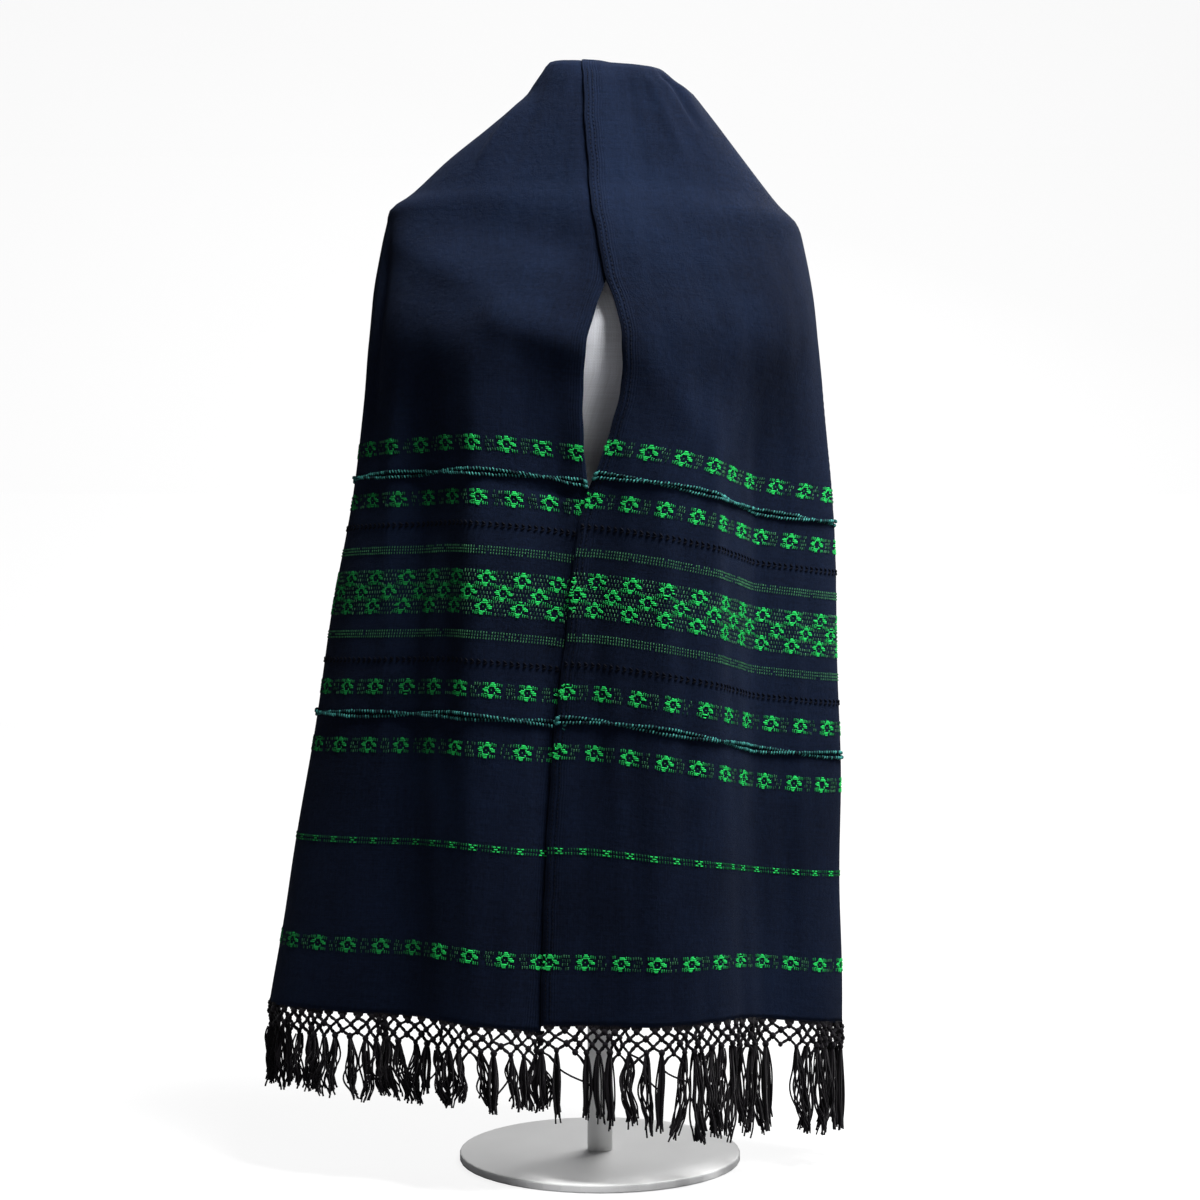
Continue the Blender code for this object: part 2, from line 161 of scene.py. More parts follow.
def curvesThrough(rows, fine=3000):    # smooth curves through a table's rows, read later by looking up
    rows = np.array(rows)
    keys, last = rows[:, 0], len(rows) - 1
    at = np.linspace(keys[0], keys[-1], fine)
    index = np.clip(np.searchsorted(keys, at, side="left") - 1, 0, last - 1)
    start, end = rows[index], rows[index + 1]
    before, after = rows[np.maximum(index - 1, 0)], rows[np.minimum(index + 2, last)]
    span = (end[:, 0] - start[:, 0])[:, None]
    part = ((at - start[:, 0]) / span[:, 0])[:, None]
    slopeIn = (end - before) / (end[:, :1] - before[:, :1]) * span
    slopeOut = (after - start) / (after[:, :1] - start[:, :1]) * span
    square, cube = part ** 2, part ** 3
    values = (start * (2 * cube - 3 * square + 1) + slopeIn * (cube - 2 * square + part)
              + end * (3 * square - 2 * cube) + slopeOut * (cube - square))
    return at, values[:, 1:]


def lookUp(curve, at):
    keys, values = curve
    return [np.interp(at, keys, values[:, column]) for column in range(values.shape[1])]


girthCurves = curvesThrough(drape["girths"])
edgeCurves = curvesThrough(drape["innerEdges"])
sideCurves = curvesThrough(drape["sideFolds"])
slantCurves = curvesThrough(drape["rowSlants"])
hangCurves = curvesThrough(drape["hang"])


def ease(value, low, high):
    part = np.clip((value - low) / (high - low), 0.0, 1.0)
    return part * part * (3 - 2 * part)


def foldRise(turn, depth):
    total = 0.0
    for top, bottom, width, rise, start, full in drape["folds"]:
        middle = np.radians(top + (bottom - top) * ease(depth, start, drape["frontHem"]))
        away = (turn - middle + math.pi) % (2 * math.pi) - math.pi
        total = total + rise * ease(depth, start, full) * np.exp(-(away / math.radians(width)) ** 2)
    return total


def rowDrop(side, turn, depth):
    slants = lookUp(slantCurves, np.degrees(turn) * side)
    middle, hem = slants[2:] if side > 0 else slants[:2]
    share = ease(depth, 0.700, drape["frontHem"])
    return (middle * (1 - share) + hem * share) * ease(depth, 0.180, 0.400)


# Creases on the front: from x, depth to x, depth, half width and rise
creases = {
    "front": (
        (-0.076, 0.050, -0.118, 0.118, 0.0050, 0.0040),   # ridge from the left of the neck
        (-0.060, 0.060, -0.092, 0.135, 0.0070, -0.0025),
        (0.061, 0.014, 0.097, 0.080, 0.0040, -0.0042),    # dark crease right of the neck
        (-0.012, 0.030, 0.003, 0.250, 0.0280, 0.0055),    # both ends stand up to the lap
        (-0.010, 0.212, -0.165, 0.172, 0.0300, -0.0090),  # hollow at the foot of the neck, left end
        (-0.210, 0.180, -0.095, 0.260, 0.0190, 0.0042),   # slanting ridge over the chest, left end
        (-0.115, 0.268, -0.004, 0.313, 0.0200, 0.0062),
        (-0.140, 0.415, -0.015, 0.425, 0.0550, -0.0070),  # and the soft drop below it
        (0.018, 0.285, 0.112, 0.405, 0.0200, 0.0034),     # slanting ridge over the chest, right end
        (0.048, 0.030, 0.078, 0.110, 0.0060, 0.0020),
        (-0.2070, 0.172, -0.2235, 0.372, 0.0042, -0.0040),  # the fold-over behind the left shoulder
        (-0.104, 0.432, -0.020, 0.446, 0.0040, -0.0022),  # level crease on the left end
        (-0.104, 0.440, -0.030, 0.453, 0.0040, 0.0014),
        (-0.150, 0.300, -0.132, 0.900, 0.0130, -0.0035),
        (-0.190, 0.240, -0.215, 0.880, 0.0100, 0.0030),
        (-0.050, 0.520, -0.085, 0.930, 0.0140, 0.0022),
        (0.105, 0.360, 0.118, 0.930, 0.0110, 0.0030),
        (0.078, 0.420, 0.082, 0.930, 0.0120, -0.0026),
        (0.150, 0.330, 0.158, 0.930, 0.0100, -0.0032),
        (0.185, 0.280, 0.196, 0.930, 0.0090, 0.0028),
        (0.020, 0.560, 0.012, 0.930, 0.0140, 0.0018),
    ),
    "back": (
        (-0.030, 0.050, -0.120, 0.180, 0.0080, 0.0025),
        (0.030, 0.050, 0.115, 0.170, 0.0080, 0.0025),
        (0.000, 0.070, 0.010, 0.290, 0.0100, -0.0020),
        (-0.110, 0.150, -0.060, 0.280, 0.0110, 0.0022),
        (0.105, 0.150, 0.070, 0.280, 0.0110, -0.0022),
    ),
}


def creaseRise(x, depth, turn):
    total = 0.0
    for face, facing in (("front", np.cos(turn) > 0), ("back", np.cos(turn) <= 0)):
        there = np.where(facing, np.clip(np.abs(np.cos(turn)) * 6, 0, 1), 0.0)
        for x0, depth0, x1, depth1, width, rise in creases[face]:
            alongX, alongD = x1 - x0, depth1 - depth0
            length = math.hypot(alongX, alongD)
            part = ((x - x0) * alongX + (depth - depth0) * alongD) / length ** 2
            away = ((x - x0) * alongD - (depth - depth0) * alongX) / length
            fade = ease(part, -0.15, 0.25) * (1 - ease(part, 0.75, 1.15))
            total = total + rise * there * fade * np.exp(-(away / width) ** 2)
    return total


def ripple(turn, depth):               # slight unevenness of hanging cloth
    waves = sum(np.sin(turn * around + depth * down + phase) * height
                for around, down, phase, height in drape["ripples"])
    return waves * (0.5 + ease(depth, 0.10, 0.45))


def clothPoints(side, turn, depth, lift=0.0):
    turn, depth = np.broadcast_arrays(np.asarray(turn, float), np.asarray(depth, float))
    level = depth + rowDrop(side, turn, depth)
    left, right, front, back, squareFront, squareBack = lookUp(girthCurves, level)
    reachSide = np.where(turn > 0, right, left)
    facing = np.abs(turn) < math.pi / 2
    reach, square = np.where(facing, front, back), np.where(facing, squareFront, squareBack)
    across, along = np.abs(np.sin(turn)), np.abs(np.cos(turn))
    radius = ((across / reachSide) ** square + (along / reach) ** square) ** (-1 / square)
    hang = lookUp(hangCurves, np.degrees(turn) * side)[1 if side > 0 else 0]
    radius = radius * (1 + (hang - 1) * ease(level, 0.240, 0.440))
    crease = creaseRise(radius * np.sin(turn), level, turn)
    radius = radius + foldRise(turn, level) + ripple(turn, level) + crease + lift
    sink = drape["sink"] + drape["tilt"] * radius * np.sin(turn)
    height = drape["crown"] - level - sink * (1 - ease(level, 0.0, drape["sinkFade"]))
    return np.stack([radius * np.sin(turn), -radius * np.cos(turn), height], axis=-1)


def innerTurn(side, depth):
    left, right = lookUp(edgeCurves, depth)
    wobble = 0.0003 * np.sin(np.asarray(depth) * 190.0) + 0.0004 * np.sin(np.asarray(depth) * 83.0 + 1.0)
    left, right = left + wobble, right - wobble
    front = lookUp(girthCurves, depth)[2]
    return np.arctan2(right if side > 0 else left, front)


def sideTurn(side, depth):
    left, right = lookUp(sideCurves, depth)
    return np.radians(right) if side > 0 else -np.radians(left)


def lapLift(side, turn, depth):
    if side < 0:
        return np.zeros(np.broadcast(turn, depth).shape)
    away = np.abs(turn - innerTurn(side, depth))
    onTop = 0.55 + 0.45 * ease(depth, 0.0, 0.060)   # the layers lie closer where they cross the neck
    return drape["lap"] * onTop * (1 - ease(away, drape["lapTurn"] * 0.4, drape["lapTurn"]))


def endPoints(side, turn, depth, off=0.0):   # on one of the two ends, off is how far outside the cloth
    return clothPoints(side, turn, depth, lapLift(side, turn, depth) + off)


print("drape worked out")


def meshFrom(bm, name):
    mesh = bpy.data.meshes.new(name)
    bm.to_mesh(mesh)
    bm.free()
    return mesh


def addPiece(name, mesh, material, smooth=True):
    mesh.polygons.foreach_set("use_smooth", [smooth] * len(mesh.polygons))
    mesh.materials.clear()
    mesh.materials.append(material)
    piece = bpy.data.objects.new(name, mesh)
    bpy.context.scene.collection.objects.link(piece)
    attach(piece, "root")
    return piece


def setPoints(mesh, points):
    mesh.vertices.foreach_set("co", np.asarray(points, np.float32).ravel())
    mesh.update()


def getPoints(mesh):
    points = np.empty(len(mesh.vertices) * 3, np.float32)
    mesh.vertices.foreach_get("co", points)
    return points.reshape(-1, 3).astype(float)


def setUv(mesh, across, along):        # one UV value for each point, in metres
    layer = mesh.uv_layers.new(name="thread")
    corner = np.empty(len(mesh.loops), np.int32)
    mesh.loops.foreach_get("vertex_index", corner)
    places = np.stack([across[corner], along[corner]], axis=-1)
    layer.data.foreach_set("uv", places.astype(np.float32).ravel())


def newMaterial(name, colour, roughness, metallic=0.0):
    material = bpy.data.materials.new(name)
    material.use_nodes = True
    shader = material.node_tree.nodes["Principled BSDF"]
    shader.inputs["Base Color"].default_value = (*colour, 1)
    shader.inputs["Roughness"].default_value = roughness
    shader.inputs["Metallic"].default_value = metallic
    return material, shader


def feed(tree, node, inputs):          # an input takes another node's output, or a plain value
    for key, value in inputs.items():
        if isinstance(value, bpy.types.NodeSocket):
            tree.links.new(value, node.inputs[key])
        else:
            node.inputs[key].default_value = value


def addNode(tree, kind, inputs=(), **settings):
    node = tree.nodes.new(kind)
    for key, value in settings.items():
        setattr(node, key, value)
    feed(tree, node, dict(inputs))
    return node


def addNoise(tree, place, scale, detail, roughness=0.5):
    return addNode(tree, "ShaderNodeTexNoise", {"Vector": place, "Scale": scale, "Detail": detail,
                                                "Roughness": roughness}).outputs[0]


def addRamp(tree, value, dark, bright, low=0.0, high=1.0):   # one colour to another, between two values
    ramp = addNode(tree, "ShaderNodeValToRGB", {"Fac": value})
    for stop, position, colour in zip(ramp.color_ramp.elements, (low, high), (dark, bright)):
        stop.position, stop.color = position, (*colour, 1)
    return ramp.outputs[0]


def addRange(tree, value, limits):
    return addNode(tree, "ShaderNodeMapRange", {"Value": value, **limits}).outputs[0]


def addBump(tree, height, strength, distance, under=None):
    inputs = {"Height": height, "Strength": strength, "Distance": distance}
    if under is not None:
        inputs["Normal"] = under
    return addNode(tree, "ShaderNodeBump", inputs).outputs[0]


def objectPlace(tree):
    return addNode(tree, "ShaderNodeTexCoord").outputs["Object"]


def newGroup(name, inputs, outputs):
    group = bpy.data.node_groups.new(name, "ShaderNodeTree")
    for label, kind, value in inputs:
        socket = group.interface.new_socket(label, in_out="INPUT", socket_type=kind)
        if value is not None:
            socket.default_value = value
    for label, kind in outputs:
        group.interface.new_socket(label, in_out="OUTPUT", socket_type=kind)
    return group, group.nodes.new("NodeGroupInput"), group.nodes.new("NodeGroupOutput")


def maths(tree, operation, first, second=0.0):
    return addNode(tree, "ShaderNodeMath", {0: first, 1: second}, operation=operation).outputs[0]


def centred(tree, value, share):       # a value round a half, brought round nought and scaled
    return maths(tree, "MULTIPLY", maths(tree, "SUBTRACT", value, 0.5), share)


weave = {"wobbleScale": 90.0, "wobble": 0.0012, "streaks": ((900, 28, 1), (24, 1000, 1))}


def makeWeaveGroup():                  # plain weave: raised threads one way and the other, in turn
    group, given, out = newGroup("plainWeave", (
        ("Vector", "NodeSocketVector", None), ("Thread", "NodeSocketFloat", 0.001),
        ("Slub", "NodeSocketFloat", 0.4)), (("Height", "NodeSocketFloat"), ("Streak", "NodeSocketFloat")))
    place = given.outputs["Vector"]
    push = centred(group, addNoise(group, place, weave["wobbleScale"], 2.0), weave["wobble"])
    apart = addNode(group, "ShaderNodeSeparateXYZ", {0: place})
    waves, streaks = [], []
    for way in (0, 1):                 # warp, then weft
        moved = maths(group, "ADD", apart.outputs[way], push)
        turns = maths(group, "DIVIDE", moved, given.outputs["Thread"])
        waves.append(maths(group, "SINE", maths(group, "MULTIPLY", turns, math.tau)))
        stretch = addNode(group, "ShaderNodeMapping", {"Vector": place, "Scale": weave["streaks"][way]})
        streaks.append(addNoise(group, stretch.outputs[0], 1.0, 3.0))
    cross = maths(group, "MULTIPLY", maths(group, "MULTIPLY", *waves), 0.5)
    streak = maths(group, "ADD", *streaks)
    slub = maths(group, "MULTIPLY", streak, given.outputs["Slub"])
    feed(group, out, {"Streak": maths(group, "MULTIPLY", streak, 0.5),
                      "Height": maths(group, "ADD", cross, slub)})
    return group


weaveGroup = makeWeaveGroup()


def addWeave(tree, place, thread, slub):
    return addNode(tree, "ShaderNodeGroup", {"Vector": place, "Thread": thread, "Slub": slub},
                   node_tree=weaveGroup).outputs


cloth = {
    "rows": 175, "columns": 78, "backColumns": 84,
    "wall": 0.0012,
    "flat": (0.36, 1.96),
    # share of the rows that lie on top of the neck, how far they reach in, and how far they rise
    "lidRows": 0.05, "lidReach": 0.036, "lidRise": 0.0015,
    "weld": 0.00005,
    "deep": (0.0011, 0.0023, 0.0070), "faded": (0.0044, 0.0092, 0.0250),
    "deepAt": 0.48, "fadedAt": 0.88,
    "thread": 0.0011, "slub": 0.5,
    "ribPitch": 0.0026, "ribs": {"From Min": 0.012, "From Max": 0.018, "To Min": 1.0, "To Max": 0.0},
    "roughness": {"To Min": 0.78, "To Max": 0.95},
    "crumple": 0.0026, "bump": 0.0005,
    "finish": {"Sheen Weight": 0.03, "Sheen Roughness": 0.5, "Sheen Tint": (0.42, 0.52, 0.85, 1),
               "Specular IOR Level": 0.04},
}


def makeClothMaterial():
    material, shader = newMaterial("navyCotton", cloth["deep"], 0.86)
    tree = material.node_tree
    uv = addNode(tree, "ShaderNodeUVMap", uv_map="thread").outputs[0]
    threads = addWeave(tree, uv, cloth["thread"], cloth["slub"])
    cloudy = addNoise(tree, objectPlace(tree), 5.0, 5.0, 0.6)
    nap = addNoise(tree, uv, 260.0, 4.0, 0.7)
    across = addNode(tree, "ShaderNodeSeparateXYZ", {0: uv}).outputs[0]
    ribWave = maths(tree, "SINE", maths(tree, "MULTIPLY", across, math.tau / cloth["ribPitch"]))
    rib = maths(tree, "MULTIPLY", ribWave, addRange(tree, across, cloth["ribs"]))
    streak = maths(tree, "MULTIPLY", threads["Streak"], 0.60)
    tone = maths(tree, "ADD", maths(tree, "MULTIPLY", cloudy, 0.75), streak)
    tone = maths(tree, "ADD", tone, centred(tree, nap, 0.5))
    tone = maths(tree, "ADD", tone, maths(tree, "MULTIPLY", rib, 0.035))
    crumple = addNoise(tree, uv, 95.0, 5.0, 0.6)
    height = maths(tree, "ADD", threads["Height"], maths(tree, "MULTIPLY", rib, 0.55))
    height = maths(tree, "ADD", height, maths(tree, "MULTIPLY", nap, 1.4))
    feed(tree, shader, {
        "Base Color": addRamp(tree, tone, cloth["deep"], cloth["faded"], cloth["deepAt"], cloth["fadedAt"]),
        "Roughness": addRange(tree, threads["Streak"], cloth["roughness"]),
        "Normal": addBump(tree, height, 0.7, cloth["bump"], addBump(tree, crumple, 0.35, cloth["crumple"])),
        **cloth["finish"]})
    return material


navyCotton = makeClothMaterial()


def endGrid(side):                     # one end: from over the neck down to its hem, inner edge to side fold
    bm = bmesh.new()
    bmesh.ops.create_grid(bm, x_segments=cloth["columns"], y_segments=cloth["rows"], size=1.0)
    mesh = meshFrom(bm, "end")
    grid = getPoints(mesh)
    share, down = (grid[:, 0] + 1) / 2, (1 - grid[:, 1]) / 2
    depth = rowDepths(down)
    turn, across = evenTurns(side, share, depth)
    setPoints(mesh, capPoints(side, turn, depth, lapLift(side, turn, depth)))
    setUv(mesh, across, depth)
    return mesh


def evenTurns(side, share, depth):     # turns evenly spread across the cloth, and how far across each lies
    turns, distances = np.empty(len(depth)), np.empty(len(depth))
    for row in np.unique(depth):
        here = depth == row
        fan = np.linspace(innerTurn(side, row), sideTurn(side, row), 500)
        steps = np.linalg.norm(np.diff(endPoints(side, fan, max(row, 0.0)), axis=0), axis=1)
        far = np.concatenate([[0.0], np.cumsum(steps)])
        turns[here] = np.interp(share[here] * far[-1], far, fan)
        distances[here] = share[here] * far[-1]
    return turns, distances


def rowDepths(down):                   # the first rows lie on top of the neck, with depths below nought
    lid = cloth["lidRows"]
    onTop, hanging = (down / lid - 1) * cloth["lidReach"], (down - lid) / (1 - lid) * drape["frontHem"]
    return np.where(down < lid, onTop, hanging)


def capPoints(side, turn, depth, lift):
    rim = clothPoints(side, turn, np.maximum(depth, 0.0), lift * ease(depth, -0.03, 0.01))
    share = np.clip(1 + depth / cloth["lidReach"], 0.0, 1.0)[:, None]
    rim[:, :2] *= share
    flat = drape["crown"] - drape["sink"]
    rim[:, 2] = flat + (rim[:, 2] - flat) * share[:, 0]
    rim[:, 2] += (1 - share[:, 0]) * cloth["lidRise"] + lift * (1 - ease(depth, -0.01, 0.012)) * share[:, 0]
    return rim


def backGrid():                        # it shares its rows' depths with the ends, so that the side folds weld
    depths = rowDepths(np.arange(cloth["rows"] + 1) / cloth["rows"])
    depths = depths[depths <= drape["backHem"] + 1e-9]
    bm = bmesh.new()
    bmesh.ops.create_grid(bm, x_segments=cloth["backColumns"], y_segments=len(depths) - 1, size=1.0)
    mesh = meshFrom(bm, "back")
    points = getPoints(mesh)
    share = (points[:, 0] + 1) / 2
    depth = depths[np.rint((1 - points[:, 1]) / 2 * (len(depths) - 1)).astype(int)]
    start, end = sideTurn(-1, depth), sideTurn(1, depth)
    turn = start - (2 * math.pi - (end - start)) * share
    turn = (turn + math.pi) % (2 * math.pi) - math.pi
    leftPoints = capPoints(-1, turn, depth, np.zeros(len(turn)))
    rightPoints = capPoints(1, turn, depth, lapLift(1, turn, depth))
    setPoints(mesh, np.where((share < 0.5)[:, None], leftPoints, rightPoints))
    setUv(mesh, depth, (share - 0.5) * 1.2)
    return mesh


def makeShawl():
    bm = bmesh.new()
    for mesh in (endGrid(-1), endGrid(1), backGrid()):
        bm.from_mesh(mesh)
        bpy.data.meshes.remove(mesh)
    bmesh.ops.remove_doubles(bm, verts=bm.verts, dist=cloth["weld"])
    bmesh.ops.recalc_face_normals(bm, faces=bm.faces)
    top = max(bm.faces, key=lambda face: face.calc_center_median().z)
    if top.normal.z < 0:
        bmesh.ops.reverse_faces(bm, faces=bm.faces)
    shawl = addPiece("shawlCloth", meshFrom(bm, "shawlCloth"), navyCotton)
    wall = shawl.modifiers.new("wall", "SOLIDIFY")
    wall.thickness = cloth["wall"]
    wall.offset = -1.0
    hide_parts("shawl_back", "shawl_front_left", "shawl_front_right")
    return shawl


shawl = makeShawl()
print("shawl cloth", len(shawl.data.polygons), "faces")

# A ruler finds places on a hanging end: depths it knows, their step, its reach across the cloth and its step
ruler = {"from": 0.010, "to": 0.972, "step": 0.002, "reach": 0.420, "fine": 0.001, "samples": 400}


def makeRuler(side):                   # the turn at any distance across the cloth and any depth
    depths = np.arange(ruler["from"], ruler["to"], ruler["step"])
    edge, fold = innerTurn(side, depths)[:, None], sideTurn(side, depths)[:, None]
    turns = edge + (fold - edge) * np.linspace(0.0, 1.0, ruler["samples"])
    points = endPoints(side, turns, np.broadcast_to(depths[:, None], turns.shape))
    steps = np.linalg.norm(np.diff(points, axis=1), axis=2)
    far = np.concatenate([np.zeros((len(depths), 1)), np.cumsum(steps, axis=1)], axis=1)
    even = np.arange(0.0, ruler["reach"], ruler["fine"])
    return {"turns": np.array([np.interp(even, far[row], turns[row]) for row in range(len(depths))]),
            "width": far[:, -1]}


rulers = {-1: makeRuler(-1), 1: makeRuler(1)}


def widthAt(side, depth):
    widths = rulers[side]["width"]
    return float(np.interp(depth, np.arange(len(widths)) * ruler["step"] + ruler["from"], widths))


def onEnd(side, across, depth):        # a point of the cloth, by its distance from the inner edge and depth
    table = rulers[side]["turns"]
    row = np.clip((depth - ruler["from"]) / ruler["step"], 0, len(table) - 1.001)
    column = np.clip(across / ruler["fine"], 0, table.shape[1] - 1.001)
    r, c = row.astype(int), column.astype(int)
    down, along = row - r, column - c
    turn = ((table[r, c] * (1 - along) + table[r, c + 1] * along) * (1 - down)
            + (table[r + 1, c] * (1 - along) + table[r + 1, c + 1] * along) * down)
    return endPoints(side, turn, depth)


def axesOn(side, across, depth):       # point, then unit directions across, down the cloth and out of it
    step = 0.0012
    point = onEnd(side, across, depth)
    acrossWay = onEnd(side, across + step, depth) - onEnd(side, np.maximum(across - step, 0.0), depth)
    downWay = onEnd(side, across, depth + step) - onEnd(side, across, depth - step)
    acrossWay /= np.linalg.norm(acrossWay, axis=1)[:, None]
    downWay /= np.linalg.norm(downWay, axis=1)[:, None]
    outWay = np.cross(acrossWay, downWay) * -side
    return point, acrossWay, downWay, outWay / np.linalg.norm(outWay, axis=1)[:, None]


def makeFloat():                       # one raised thread: a low rounded bar without its underside
    bm = bmesh.new()
    bmesh.ops.create_cube(bm, size=2.0)
    bmesh.ops.delete(bm, geom=[face for face in bm.faces if face.normal.z < -0.5], context="FACES")
    for vert in bm.verts:
        if vert.co.z > 0:
            vert.co.x *= 0.74
            vert.co.y *= 0.55
        vert.co.z = 1.0 if vert.co.z > 0 else -0.4
    return template(bm)


def makeBead():
    bm = bmesh.new()
    bmesh.ops.create_uvsphere(bm, u_segments=6, v_segments=4, radius=1.0)
    bmesh.ops.rotate(bm, verts=bm.verts, matrix=Matrix.Rotation(math.pi / 2, 3, "Y"))
    return template(bm)


def template(bm):
    bm.verts.ensure_lookup_table()
    points = np.array([vert.co[:] for vert in bm.verts])
    faces = [[vert.index for vert in face.verts] for face in bm.faces]
    bm.free()
    return points, faces


def stampMany(side, shape, places, sizes, spin=None):   # copies of a template set on the cloth, in one array
    points, faces = shape
    places, sizes = np.asarray(places, float), np.asarray(sizes, float)
    spin = np.zeros(len(places)) if spin is None else np.asarray(spin, float)
    local = points[None] * sizes[:, None, :]
    turnCos, turnSin = np.cos(spin)[:, None], np.sin(spin)[:, None]
    x = local[..., 0] * turnCos - local[..., 1] * turnSin
    y = local[..., 0] * turnSin + local[..., 1] * turnCos
    point, across, down, out = axesOn(side, places[:, 0], places[:, 1])
    point = point + out * places[:, 2:3]
    world = (point[:, None] + x[..., None] * across[:, None] + y[..., None] * down[:, None]
             + local[..., 2:] * out[:, None])
    flip = side > 0
    allFaces = [[index + copy * len(points) for index in (reversed(face) if flip else face)]
                for copy in range(len(places)) for face in faces]
    return world.reshape(-1, 3), allFaces


def joinStamps(name, stamps, tones):   # one mesh, with a tone for each copy
    points, faces, shades, start = [], [], [], 0
    for (world, group), tone in zip(stamps, tones):
        points.append(world)
        faces += [[index + start for index in face] for face in group]
        shades.append(np.repeat(tone, len(world) // len(tone)))
        start += len(world)
    mesh = bpy.data.meshes.new(name)
    mesh.from_pydata(np.concatenate(points).tolist(), [], faces)
    tone = mesh.attributes.new("tone", "FLOAT", "POINT")
    tone.data.foreach_set("value", np.concatenate(shades).astype(np.float32))
    return mesh


# The green brocade
bands = {
    "middle": {-1: 0.534, 1: 0.540},   # depth of the wide band's centre on each end
    "motifRows": (-0.140, -0.089, 0.091, 0.147, 0.345),
    "wideRows": (-0.0135, 0.0, 0.0135),
    "gridLines": (-0.040, 0.040),
    "arrowLines": (-0.064, 0.065),
    "cordLines": (-0.113, 0.117),
    "tickLine": 0.240,
    "motifPitch": 0.0338, "firstMotif": {-1: 0.008, 1: 0.007},
    "tickPitch": 0.0031, "gridPitch": 0.0027,
    "relief": 0.0006,
    "paintedShadeFrom": 0.119, "dull": 0.50, "paintedShadeTicks": 0.75,   # past here the left end's threads are darkened: painted shade on the side turned from the light
}
# One flower in millimetres: across, down, half length, half thickness, tone
flower = (
    (0.4, -7.1, 1.9, 0.62, 0.95), (0.9, -5.7, 2.9, 0.64, 1.00), (1.1, -4.3, 3.7, 0.58, 0.90),
    (-5.5, -2.3, 1.8, 0.62, 0.90), (-6.2, -0.9, 2.7, 0.64, 1.00), (-5.4, 0.5, 2.1, 0.60, 0.95),
    (5.2, -1.9, 2.0, 0.60, 0.90), (6.3, -0.5, 2.9, 0.64, 1.00), (7.3, 0.9, 2.0, 0.60, 0.95),
    (-0.5, 4.1, 3.5, 0.58, 0.95), (-0.8, 5.5, 2.6, 0.64, 1.00), (-0.5, 6.9, 1.9, 0.60, 0.90),
    (-3.1, -2.9, 0.50, 1.3, 0.85), (3.3, -2.7, 0.50, 1.2, 0.85), (-3.3, 2.4, 0.50, 1.3, 0.80),
    (3.2, 2.7, 0.50, 1.2, 0.85), (0.0, -0.2, 0.50, 0.60, 0.50),
    (-8.7, -5.9, 0.46, 1.6, 0.34), (-6.4, -6.1, 0.46, 1.6, 0.46), (-4.3, -5.8, 0.46, 1.7, 0.62),
    (-9.0, 4.8, 0.46, 1.7, 0.42), (-6.9, 5.2, 0.46, 1.7, 0.58), (-5.8, 3.1, 1.50, 0.45, 0.60),
    (-4.8, 5.6, 0.46, 1.6, 0.62), (5.2, -5.6, 0.46, 1.7, 0.62), (7.4, -5.3, 0.46, 1.6, 0.46),
    (9.6, -5.0, 0.46, 1.5, 0.32), (4.9, 5.4, 0.46, 1.7, 0.62), (7.1, 5.6, 0.46, 1.6, 0.48),
    (9.4, 5.8, 0.46, 1.5, 0.34),
)
# Ticks in the gap after a flower, in millimetres: the first, how far apart, the shift of the inner lines
gapTicks = {"first": 11.4, "pitch": 2.3, "shift": 1.1, "count": 4, "levels": (-5.6, -1.9, 1.9, 5.6)}
chance = random.Random(7)


def spread(reach):                     # a little uneven, either way
    return chance.uniform(-reach, reach)


def addMotifRow(side, depth, start, floats, withTicks):
    width = widthAt(side, depth)
    centre = start
    while centre < width - 0.004:
        squeeze = 1 - 0.10 * chance.random()
        for x, y, halfX, halfY, tone in flower:
            across = centre + side * x * 0.001 * squeeze
            if 0.0015 < across < width - 0.001 and chance.random() > 0.03:
                floats.append((across + spread(1) * 0.00015, depth + (y + spread(0.2)) * 0.001,
                               halfX * 0.001 * squeeze, halfY * 0.001, tone * chance.uniform(0.86, 1.0)))
        if withTicks:
            for step in range(gapTicks["count"]):
                for level in gapTicks["levels"]:
                    shift = gapTicks["shift"] if abs(level) < 3 else 0
                    across = centre + (gapTicks["first"] + step * gapTicks["pitch"] + shift) * 0.001
                    if across < width - 0.001 and chance.random() > 0.22:
                        floats.append((across, depth + (level + spread(0.4)) * 0.001,
                                       0.00042, 0.0015, chance.uniform(1.12, 1.55)))
        centre += bands["motifPitch"]


def addTicks(side, depth, pitch, levels, halfHeight, tones, floats, skip=None, stagger=0.0):
    width = widthAt(side, depth)
    for line, level in enumerate(levels):
        across = 0.0022 + (pitch * stagger if line % 2 else 0.0)
        while across < width - 0.0015:
            if (skip is None or not skip(across, level)) and chance.random() > 0.04:
                floats.append((across + spread(1) * 0.0001, depth + level, 0.00040,
                               halfHeight * chance.uniform(0.8, 1.1), chance.uniform(*tones)))
            across += pitch


